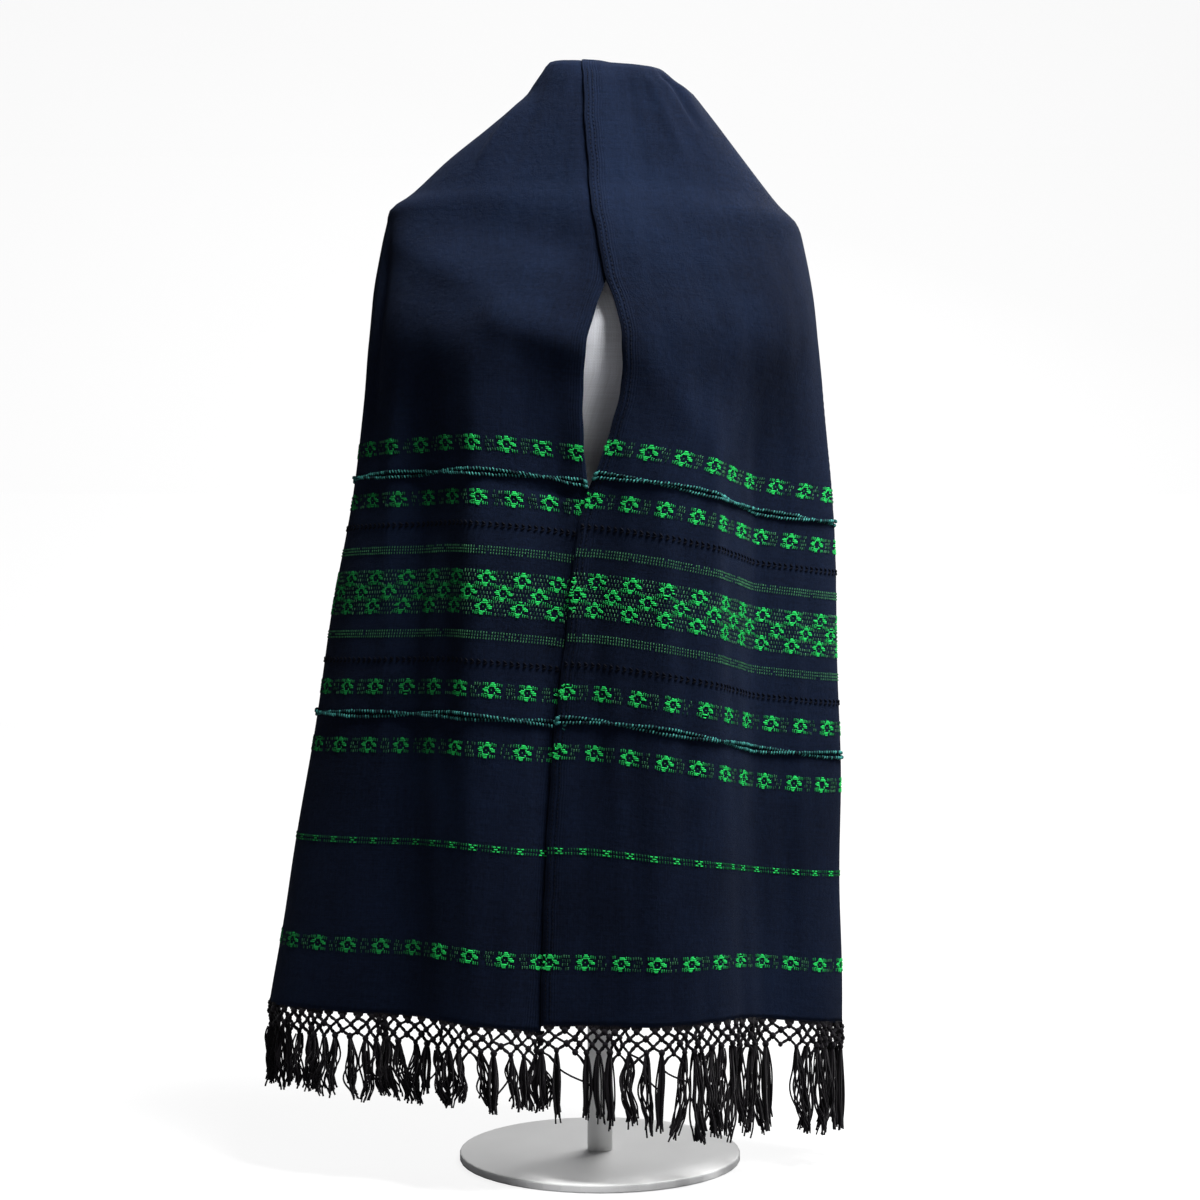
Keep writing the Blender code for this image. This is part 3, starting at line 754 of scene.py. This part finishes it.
def brocadeFloats(side):
    middle = bands["middle"][side]
    first, pitch = bands["firstMotif"][side], bands["motifPitch"]
    floats = []
    for offset in bands["motifRows"]:
        addMotifRow(side, middle + offset, first + chance.uniform(-0.002, 0.002), floats, True)
    half = {0.0: pitch / 2}
    for offset in bands["wideRows"]:
        addMotifRow(side, middle + offset, first - pitch / 2 + half.get(offset, 0.0), floats, False)

    def onFlower(across, level):
        for offset in bands["wideRows"]:
            start = first - pitch / 2 + half.get(offset, 0.0)
            away = (across - start + pitch / 2) % pitch - pitch / 2
            if abs(away) < 0.0095 and abs(level - offset) < 0.0078:
                return True
        return False

    levels = [step * 0.0040 for step in range(-5, 6)]
    addTicks(side, middle, bands["tickPitch"], levels, 0.0015, (1.15, 1.75), floats, onFlower, 0.5)
    for offset in bands["motifRows"] + bands["wideRows"]:   # loops of thread turned round the inner selvedge
        for _ in range(7):
            floats.append((chance.uniform(0.0008, 0.0055), middle + offset + chance.uniform(-0.007, 0.007),
                           chance.uniform(0.0005, 0.0016), chance.uniform(0.0005, 0.0012),
                           chance.uniform(0.7, 1.0)))
    for offset in bands["gridLines"]:
        levels = (-0.0028, 0.0, 0.0028)
        addTicks(side, middle + offset, bands["gridPitch"], levels, 0.0011, (1.34, 1.66), floats)
    depth = middle + bands["tickLine"]
    addTicks(side, depth, bands["gridPitch"], (-0.0020, 0.0020), 0.0014, (0.10, 0.34), floats)
    across = 0.012
    while across < widthAt(side, depth) - 0.004:
        for x, y in ((-2.2, -2.2), (2.2, -2.2), (0.0, 0.0), (-2.2, 2.2), (2.2, 2.2), (1.0, 0.0)):
            floats.append((across + x * 0.001, depth + y * 0.001, 0.0014, 0.0006, chance.uniform(0.8, 1.0)))
        across += 0.0225
    floats = np.array(floats)
    # painted shade: the left end's outer flowers and ticks are darkened where that side turns from the light
    if side < 0:
        paintedShadeMask = floats[:, 0] > bands["paintedShadeFrom"]
        ticks = floats[:, 4] > 1
        floats[paintedShadeMask & ticks, 4] = 1 + (floats[paintedShadeMask & ticks, 4] - 1) * bands["paintedShadeTicks"]
        floats[paintedShadeMask & ~ticks, 4] *= bands["dull"]
    return floats


def makeThreadMaterial(name, dark, bright, scale):
    material, shader = newMaterial(name, bright, 0.7)
    tree = material.node_tree
    tone = addNode(tree, "ShaderNodeAttribute", attribute_name="tone", attribute_type="GEOMETRY")
    strand = addNoise(tree, objectPlace(tree), scale, 3.0)
    mixed = maths(tree, "ADD", tone.outputs["Fac"], centred(tree, strand, 0.5))
    feed(tree, shader, {"Base Color": addRamp(tree, mixed, dark, bright, 0.15),
                        "Normal": addBump(tree, strand, 0.4, 0.0003),
                        "Specular IOR Level": 0.06})
    return material


greenThread = makeThreadMaterial("greenThread", (0.006, 0.050, 0.020), (0.024, 0.620, 0.120), 2500.0)
paleThread = makeThreadMaterial("paleThread", (0.003, 0.026, 0.014), (0.085, 0.300, 0.130), 2500.0)
tealThread = makeThreadMaterial("tealThread", (0.003, 0.016, 0.020), (0.042, 0.225, 0.200), 1800.0)
navyThread = makeThreadMaterial("navyThread", (0.0006, 0.0009, 0.0028), (0.0020, 0.0030, 0.0080), 1800.0)
floatShape, beadShape = makeFloat(), makeBead()


def makeBrocade(side, end):            # a tone over 1 marks the paler ticks between the flowers
    floats = brocadeFloats(side)
    for name, material, chosen, base in (("brocade" + end, greenThread, floats[:, 4] <= 1, 0.0),
                                         ("ticks" + end, paleThread, floats[:, 4] > 1, 1.0)):
        some = floats[chosen]
        places = np.column_stack([some[:, 0], some[:, 1], np.zeros(len(some))])
        sizes = np.column_stack([some[:, 2], some[:, 3], np.full(len(some), bands["relief"])])
        mesh = joinStamps(name, [stampMany(side, floatShape, places, sizes)], [some[:, 4] - base])
        addPiece(name, mesh, material, smooth=False)
        print(name, len(some), "raised threads")


makeBrocade(-1, "Left")
makeBrocade(1, "Right")


# A cord is two strands of beads twisted round each other over a dark core, with a knot at either end
cord = {
    "bead": 0.0031, "length": 0.00085, "thick": 0.00190, "apart": 0.0026, "twist": 0.110,
    "stand": 0.0012, "swell": 0.0008, "unevenness": 0.00035,
    "core": (0.0022, 0.0018, 0.0014), "coreDrop": 0.0007, "coreTone": 0.4,
    "knot": (0.0022, 0.0026, 0.0022),
}


def makeCords():
    stamps, tones, cores, coreTones = [], [], [], []
    for side in (-1, 1):
        for offset in bands["cordLines"]:
            depth = bands["middle"][side] + offset
            width = widthAt(side, depth)
            across = np.arange(0.001, width, cord["bead"])
            wander = np.cumsum([chance.uniform(0.55, 1.45) for _ in across]) * cord["bead"]
            for strand in (0, 1):
                phase = wander * math.pi / cord["twist"] + strand * math.pi
                shift = np.array([spread(1) for _ in across]) * cord["unevenness"]
                down = np.cos(phase) * cord["apart"] + shift
                out = cord["stand"] + np.sin(phase) * cord["swell"]
                thick = cord["thick"] * np.array([chance.uniform(0.82, 1.12) for _ in across])
                places = np.column_stack([across + strand * cord["bead"] / 2, depth + down, out])
                sizes = np.column_stack([np.full(len(across), cord["length"]), thick, thick * 0.8])
                spin = 0.22 - np.sin(phase) * 0.15 * side
                stamps.append(stampMany(side, beadShape, places, sizes, spin))
                tones.append(np.array([0.10 + 0.90 * chance.random() for _ in across]))
                under = places - (0, 0, cord["coreDrop"])
                cores.append(stampMany(side, beadShape, under, np.tile(cord["core"], (len(across), 1))))
                coreTones.append(np.full(len(across), cord["coreTone"]))
            ends = [(0.0012, depth - 0.001, 0.002), (0.0015, depth + 0.003, 0.0016),
                    (width - 0.001, depth, 0.0022)]
            stamps.append(stampMany(side, beadShape, ends, [cord["knot"]] * 3, [0.4, 1.2, 0.0]))
            tones.append(np.array([0.5, 0.6, 0.4]))
    addPiece("tealCords", joinStamps("tealCords", stamps, tones), tealThread)
    addPiece("cordCores", joinStamps("cordCores", cores, coreTones), navyThread)


# Dark arrowheads across the cloth, and the running stitches by the right end's selvedge
stitch = {
    "arrowPitch": 0.0062, "arm": (0.0024, 0.00085, 0.0009), "armApart": 0.0014, "armLean": 0.62,
    "lines": (0.0042, 0.0088), "from": 0.016, "to": 0.938, "pitch": 0.0042, "size": (0.00042, 0.0012, 0.0005),
}


def makeStitches():
    stamps, tones = [], []
    for side in (-1, 1):
        for offset in bands["arrowLines"]:
            depth = bands["middle"][side] + offset
            across = np.arange(0.004, widthAt(side, depth) - 0.003, stitch["arrowPitch"])
            count = len(across)
            for arm in (-1, 1):
                down = np.full(count, depth + arm * stitch["armApart"])
                places = np.column_stack([across, down, np.full(count, 0.0003)])
                lean = np.full(count, -arm * stitch["armLean"] * side)
                stamps.append(stampMany(side, beadShape, places, [stitch["arm"]] * count, lean))
                tones.append(np.array([chance.uniform(0.0, 0.6) for _ in across]))
    depths = np.arange(stitch["from"], stitch["to"], stitch["pitch"])
    count = len(depths)
    for line, across in enumerate(stitch["lines"]):
        down = depths + line * stitch["pitch"] / 2
        places = np.column_stack([np.full(count, across), down, np.zeros(count)])
        stamps.append(stampMany(1, floatShape, places, [stitch["size"]] * count))
        tones.append(np.full(count, 0.1))
    addPiece("navyStitches", joinStamps("navyStitches", stamps, tones), navyThread)


makeCords()
makeStitches()
print("cords and stitches laid")

# The knotted fringe: its reach is how far the tassels hang below the hem, at the inner edge, part way
# across and at the side
fringe = {
    "reach": {-1: (0.078, 0.082, 0.082), 1: (0.086, 0.114, 0.110)}, "reachAt": (0.0, 0.4, 1.0),
    "knots": 0.0118, "knotSize": 0.0029, "knotShape": (1.0, 1.0, 1.1),
    "rowsDown": (0.0045, 0.0110, 0.0175, 0.0240),
    "gathered": (-0.42, -0.28, -0.14, 0.0, 0.14, 0.28, 0.42),   # warp ends drawn into one first knot
    "netStrands": (-1.5, -0.5, 0.5, 1.5),
    "yarn": 0.00092, "yarnsPerTassel": 14, "yarnSteps": 16, "straySteps": 8,
    "black": (0.0012, 0.0012, 0.0028), "worn": (0.0080, 0.0062, 0.0078),
}


def belowHem(side, across, down, out):   # a point of the fringe: how far across, below the hem and outwards
    width = widthAt(side, drape["frontHem"])
    inside = np.clip(across, 0.0005, width - 0.0005)
    point, acrossWay, _, outWay = axesOn(side, inside, np.full(len(inside), drape["frontHem"] - 0.0005))
    outWay = outWay * (1, 1, 0)
    outWay /= np.linalg.norm(outWay, axis=1)[:, None]
    acrossWay = acrossWay * (1, 1, 0)
    acrossWay /= np.linalg.norm(acrossWay, axis=1)[:, None]
    point = point + acrossWay * (across - inside)[:, None] + outWay * (out - 0.0006)[:, None]
    point[:, 2] -= down
    return point


def knotRows(side, pitch, count):      # rows of (across, down, out), each set between the last one's
    bunch = [0.0]
    for step in range(count):          # the knots draw together here and there
        bunch.append(bunch[-1] + pitch * (1 + 0.38 * math.sin(step * 0.9 + side) + spread(0.28)))
    even = np.array(bunch) * (widthAt(side, drape["frontHem"]) / bunch[-1])
    centres = (even[1:] + even[:-1]) / 2
    return [[(x + spread(1) * 0.0014, down + spread(1) * 0.0016, spread(1) * 0.0010)
             for x in (even if level % 2 else centres)]
            for level, down in enumerate(fringe["rowsDown"])]


def netLines(rows, pitch):             # each line is a run of (across, down, out)
    lines = []
    for x, down, out in rows[0]:       # warp ends gathered from the hem into the first knots
        for share in fringe["gathered"]:
            lines.append(((x + share * pitch, -0.001, 0.0), (x + share * pitch * 0.8, down * 0.5, out * 0.5),
                          (x + share * 0.0016, down, out)))
    for level, (upper, lower) in enumerate(zip(rows, rows[1:])):
        for index, (x, down, out) in enumerate(upper):
            first = index - level % 2
            for endX, endDown, endOut in lower[max(first, 0):first + 2]:
                for strand in fringe["netStrands"]:
                    bow = chance.uniform(0.0004, 0.0009) * strand
                    middle = ((x + endX) / 2 + bow, (down + endDown) / 2 + spread(0.5) * 0.001,
                              (out + endOut) / 2 + strand * 0.0005)
                    lines.append(((x, down, out), middle, (endX, endDown, endOut)))
    return lines


def yarnRun(knot, tassel):             # one yarn of a tassel, from its knot down
    x, down, out = knot
    seat, depthSeat, phase = spread(1), spread(1), chance.uniform(0, 6.3)
    wave = chance.uniform(0.0004, 0.0030) * (0.15 if tassel["straight"] else 1.0)
    length = tassel["length"] * chance.uniform(0.86, 1.0)
    run = []
    for step in range(fringe["yarnSteps"] + 1):
        part = step / fringe["yarnSteps"]
        below = down + 0.002 + (length - down - 0.002) * part
        bulge = math.sin(math.pi * min(part * 1.15, 1.0)) ** 0.8
        wide = tassel["width"] * (0.35 + bulge + 0.7 * part ** 3)
        swing = 0.0034 * math.sin(part * 6.0 + tassel["sway"]) * part
        drift = (tassel["lean"] * part ** 1.3 + swing) * (0.2 if tassel["straight"] else 1.0)
        curl = wave * math.sin(part * 8.0 + phase) * min(part * 3, 1.0)
        run.append((x + drift + seat * wide + curl, below,
                    out + depthSeat * wide * 0.8 + wave * math.cos(part * 7.0 + phase)))
    return run


def strayRun(before, x, out):          # a stray yarn crosses to the tassel before
    high, low = chance.uniform(0.030, 0.045), chance.uniform(0.050, 0.072)
    run = []
    for step in range(fringe["straySteps"] + 1):
        part = step / fringe["straySteps"]
        swing = 0.5 + 0.62 * math.sin((part - 0.5) * math.pi)
        run.append((before[0] + (x - before[0]) * swing,
                    high + (low - high) * part + 0.004 * math.sin(part * math.pi), out + 0.001))
    return run


def tasselLines(side, row, pitch):     # most of the last knots carry a tassel, and the others' yarns join it
    heads = [knot for index, knot in enumerate(row) if index % 4 != 2 or chance.random() > 0.4]
    reach = np.interp(np.linspace(0, 1, len(heads)), fringe["reachAt"], fringe["reach"][side])
    lines = []
    for index, (x, down, out) in enumerate(heads):
        for other in row:
            if 0 < abs(other[0] - x) < pitch * 1.4 and (other not in heads or chance.random() < 0.25):
                for strand in (-1, 0, 1):
                    bend = ((x + other[0]) / 2 + strand * 0.0006, down + 0.005, out + strand * 0.0004)
                    lines.append((other, bend, (x + strand * 0.001, down + 0.013, out)))
        tassel = {"length": reach[index] + chance.uniform(-0.006, 0.004), "lean": spread(1) * 0.0120,
                  "sway": chance.uniform(0.0, 6.3),
                  "straight": chance.random() < 0.15 or (side > 0 and index < 5),
                  "width": chance.uniform(0.0026, 0.0046)}
        lines += [yarnRun((x, down, out), tassel) for _ in range(fringe["yarnsPerTassel"])]
        if index and chance.random() < 0.30:
            lines.append(strayRun(heads[index - 1], x, out))
    print(len(heads), "tassels")
    return lines


def tubesAlong(name, side, lines):     # a thin tube along every line
    flat = np.array([spot for line in lines for spot in line])
    world = belowHem(side, flat[:, 0], flat[:, 1], flat[:, 2])
    curve = bpy.data.curves.new(name, "CURVE")
    curve.dimensions = "3D"
    curve.bevel_depth = fringe["yarn"]
    curve.bevel_resolution = 0
    start = 0
    for line in lines:
        spline = curve.splines.new("POLY")
        spline.points.add(len(line) - 1)
        run = world[start:start + len(line)]
        spline.points.foreach_set("co", np.column_stack([run, np.ones(len(run))]).ravel())
        start += len(line)
    carrier = bpy.data.objects.new(name, curve)
    bpy.context.scene.collection.objects.link(carrier)
    bpy.context.view_layer.update()
    tubes = bpy.data.meshes.new_from_object(carrier.evaluated_get(bpy.context.evaluated_depsgraph_get()))
    bpy.data.objects.remove(carrier)
    bpy.data.curves.remove(curve)
    return tubes


def makeFringe(side, name, navyFringe):
    width = widthAt(side, drape["frontHem"])
    count = int(width / fringe["knots"])
    pitch = width / count
    rows = knotRows(side, pitch, count)
    tubes = tubesAlong(name, side, netLines(rows, pitch) + tasselLines(side, rows[-1], pitch))
    bm = bmesh.new()
    bm.from_mesh(tubes)
    bpy.data.meshes.remove(tubes)
    spots = np.array([knot for row in rows for knot in row])
    shape, faces = beadShape
    for seat in belowHem(side, spots[:, 0], spots[:, 1], spots[:, 2]):
        size = np.array(fringe["knotShape"]) * fringe["knotSize"] * chance.uniform(0.8, 1.2)
        verts = [bm.verts.new(corner) for corner in seat + shape[:, [1, 2, 0]] * size]
        for face in faces:
            bm.faces.new([verts[index] for index in face])
    piece = addPiece(name, meshFrom(bm, name), navyFringe)
    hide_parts("fringe_left" if side < 0 else "fringe_right")
    print(name, len(piece.data.polygons), "faces")


def makeFringeMaterial():
    material, shader = newMaterial("navyFringe", (0.003, 0.003, 0.006), 0.9)
    tree = material.node_tree
    place = objectPlace(tree)
    patches, ply = addNoise(tree, place, 160.0, 2.0), addNoise(tree, place, 1500.0, 3.0)
    feed(tree, shader, {"Base Color": addRamp(tree, patches, fringe["black"], fringe["worn"]),
                        "Normal": addBump(tree, ply, 0.5, 0.0003),
                        "Sheen Weight": 0.05, "Specular IOR Level": 0.08})
    return material


navyFringe = makeFringeMaterial()
makeFringe(-1, "fringeLeft", navyFringe)
makeFringe(1, "fringeRight", navyFringe)

# The covered form, and its painted stand
form = {"cover": (0.84, 0.86, 0.92), "shade": (0.66, 0.66, 0.69), "shadeAt": 0.30, "coverAt": 0.70,
        "thread": 0.0014, "slub": 0.9, "weld": 0.00002, "flatWithin": math.radians(0.5)}
stand = {"dull": (0.80, 0.80, 0.79), "bright": (0.89, 0.89, 0.88),
         "roughness": {"To Min": 0.3, "To Max": 0.55}}


def makeLinenMaterial():
    material, shader = newMaterial("linenCover", form["cover"], 0.9)
    tree = material.node_tree
    x, y, z = addNode(tree, "ShaderNodeSeparateXYZ", {0: objectPlace(tree)}).outputs
    around = maths(tree, "ADD", x, maths(tree, "MULTIPLY", y, 0.9))
    place = addNode(tree, "ShaderNodeCombineXYZ", {0: around, 1: z}).outputs[0]
    threads = addWeave(tree, place, form["thread"], form["slub"])
    colour = addRamp(tree, threads["Streak"], form["shade"], form["cover"], form["shadeAt"], form["coverAt"])
    feed(tree, shader, {"Base Color": colour, "Normal": addBump(tree, threads["Height"], 0.6, 0.0005),
                        "Sheen Weight": 0.15})
    return material


def makeForm():
    bm = bmesh.new()
    bm.from_mesh(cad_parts["form_torso"].data)
    bmesh.ops.remove_doubles(bm, verts=bm.verts, dist=form["weld"])
    bmesh.ops.dissolve_limit(bm, angle_limit=form["flatWithin"], verts=bm.verts, edges=bm.edges)
    bmesh.ops.recalc_face_normals(bm, faces=bm.faces)
    torso = addPiece("formCover", meshFrom(bm, "formCover"), makeLinenMaterial())
    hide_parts("form_torso")


def makePaint():
    material, shader = newMaterial("whitePaint", (0.86, 0.86, 0.85), 0.4)
    tree = material.node_tree
    place = objectPlace(tree)
    peel, scuff = addNoise(tree, place, 420.0, 2.0), addNoise(tree, place, 14.0, 6.0)
    feed(tree, shader, {"Roughness": addRange(tree, scuff, stand["roughness"]),
                        "Base Color": addRamp(tree, scuff, stand["dull"], stand["bright"]),
                        "Normal": addBump(tree, peel, 0.08, 0.0003)})
    return material


makeForm()
whitePaint = makePaint()
for name in ("stand_pole", "stand_base"):
    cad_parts[name].data.materials.clear()
    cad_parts[name].data.materials.append(whitePaint)
print("form and stand finished")

studio = {
    "distance": 2.25, "eye": 0.543, "width": 1.2, "sensor": 36.0,
    "air": (0.97, 0.98, 1.0), "airLight": 0.10, "airSeen": 0.9,
    "paper": (0.92, 0.92, 0.92), "paperUnseen": (0.24, 0.24, 0.25), "glow": 1.02, "glowShare": 0.84,
    "floor": ((-6.0, -3.5, 0.0), (6.0, -3.5, 0.0)),
    # y and height of each bend of the floor, as it sweeps up behind
    "sweep": ((1.2, 0.0), (1.9, 0.06), (2.5, 0.3), (2.9, 0.8), (3.05, 1.6), (3.1, 5.0)),
    # each light's place, size, power and what it points at
    "lights": {
        "topLight": ((0.68, -0.62, 2.55), 0.8, 162.0, (0.0, -0.05, 0.85)),
        "frontLight": ((2.1, -2.1, 1.6), 1.4, 11.0, (0.0, 0.0, 0.70)),
        "backLight": ((0.8, 1.6, 2.4), 1.6, 60.0, (0.0, 0.0, 0.3)),
    },
}


def cameraRay(tree):
    return addNode(tree, "ShaderNodeLightPath").outputs["Is Camera Ray"]


def makeAir():                         # the air shows white, and lights the scene only faintly
    world = bpy.data.worlds.new("studio")
    world.use_nodes = True
    tree = world.node_tree
    seen = maths(tree, "MULTIPLY", cameraRay(tree), studio["airSeen"])
    strength = maths(tree, "ADD", seen, studio["airLight"])
    feed(tree, tree.nodes["Background"], {"Color": (*studio["air"], 1), "Strength": strength})
    bpy.context.scene.world = world


def makeSweep():                       # floor that sweeps up behind
    bm = bmesh.new()
    strip = [bm.edges.new([bm.verts.new(corner) for corner in studio["floor"]])]
    for y, z in studio["sweep"]:
        grown = bmesh.ops.extrude_edge_only(bm, edges=strip)["geom"]
        strip = [item for item in grown if isinstance(item, bmesh.types.BMEdge)]
        for vert in (item for item in grown if isinstance(item, bmesh.types.BMVert)):
            vert.co.y, vert.co.z = y, z
    bmesh.ops.recalc_face_normals(bm, faces=bm.faces)
    sweep = bpy.data.objects.new("studioSweep", meshFrom(bm, "studioSweep"))
    bpy.context.scene.collection.objects.link(sweep)
    material, shader = newMaterial("sweepPaper", studio["paper"], 0.95)
    tree = material.node_tree
    seen = cameraRay(tree)
    glow = addNode(tree, "ShaderNodeEmission", {"Color": (1, 1, 1, 1), "Strength": studio["glow"]})
    colours = {"Factor": seen, 6: (*studio["paperUnseen"], 1), 7: (*studio["paper"], 1)}
    dim = addNode(tree, "ShaderNodeMix", colours, data_type="RGBA")
    feed(tree, shader, {"Base Color": dim.outputs[2], "Specular IOR Level": 0.0})
    mix = addNode(tree, "ShaderNodeMixShader", {0: maths(tree, "MULTIPLY", seen, studio["glowShare"]),
                                               1: shader.outputs[0], 2: glow.outputs[0]})
    feed(tree, tree.nodes["Material Output"], {"Surface": mix.outputs[0]})
    sweep.data.materials.append(material)


def makeLights():
    for name, (place, size, power, aim) in studio["lights"].items():
        data = bpy.data.lights.new(name, "AREA")
        data.size, data.energy = size, power
        light = bpy.data.objects.new(name, data)
        light.location = place
        direction = light.location.copy()
        direction.xyz = [target - start for target, start in zip(aim, place)]
        light.rotation_euler = direction.to_track_quat("-Z", "Y").to_euler()
        bpy.context.scene.collection.objects.link(light)


def makeCamera():
    camera = bpy.data.objects.new("camera", bpy.data.cameras.new("camera"))
    camera.data.sensor_width = studio["sensor"]
    camera.data.lens = studio["sensor"] * studio["distance"] / studio["width"]
    camera.location = (0.0, -studio["distance"], drape["crown"] - studio["eye"])
    camera.rotation_euler = (math.pi / 2, 0.0, 0.0)
    bpy.context.scene.collection.objects.link(camera)
    bpy.context.scene.camera = camera


bpy.context.scene.view_settings.view_transform = "Standard"
makeAir()
makeSweep()
makeLights()
makeCamera()
print("studio set")
